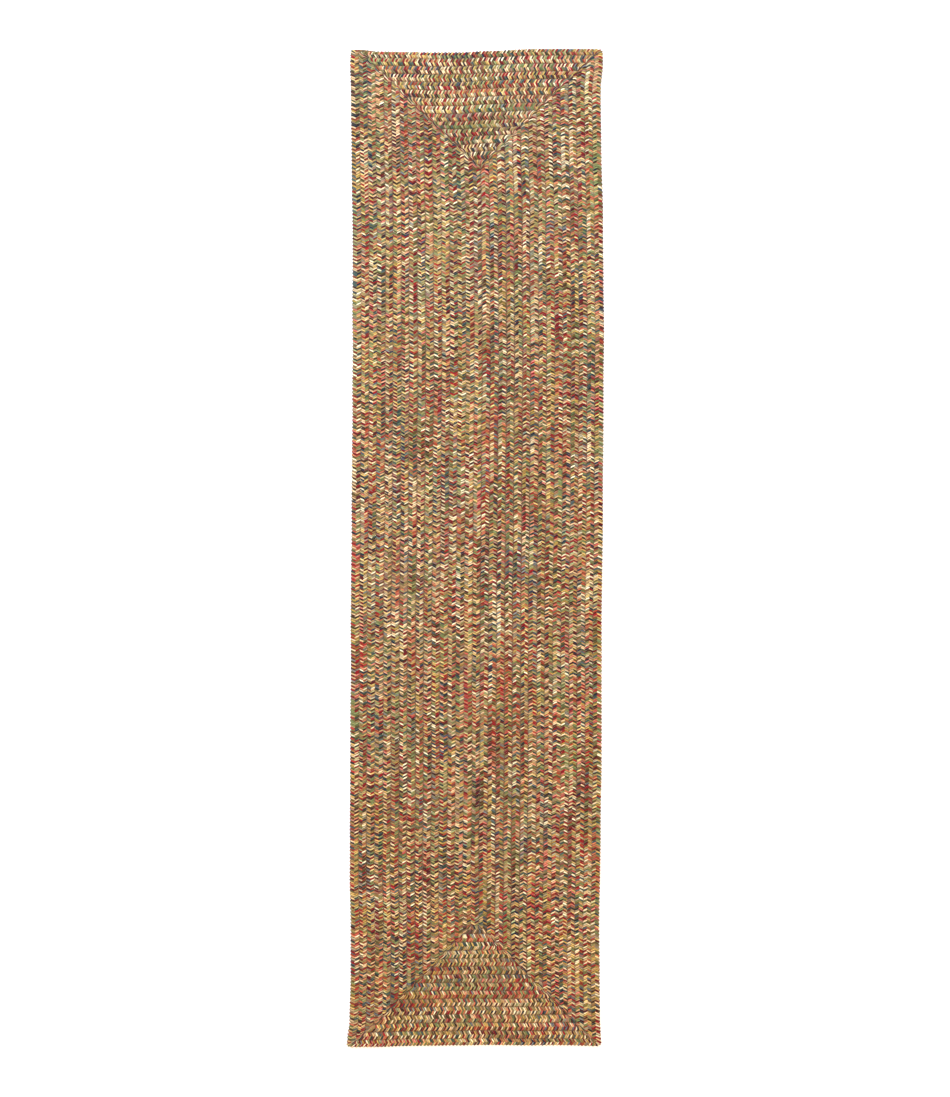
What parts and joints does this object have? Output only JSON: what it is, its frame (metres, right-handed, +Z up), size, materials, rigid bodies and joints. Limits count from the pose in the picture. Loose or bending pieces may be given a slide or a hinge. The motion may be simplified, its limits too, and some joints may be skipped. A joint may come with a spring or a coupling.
{
  "type": "braided rug",
  "caption": "Flat rectangular runner rug of one yarn braid wound in a mitred rectangular spiral, its courses laced side to side. It lies on a floor.",
  "frame": {"origin": "middle of the rug's underside, on the surface it lies on", "axes": "+Y runs along the rug to the end where the braid's tail finishes, +X to the right of that, +Z up through the thickness"},
  "size_m": [0.6306, 2.4472, 0.011],
  "materials": {
    "braided_yarn": "matt spun yarn braid in tan, cream, rust, red, sage and slate"
  },
  "bodies": {
    "root": {"braided_rug": "braided_yarn"}
  },
  "joints": []
}
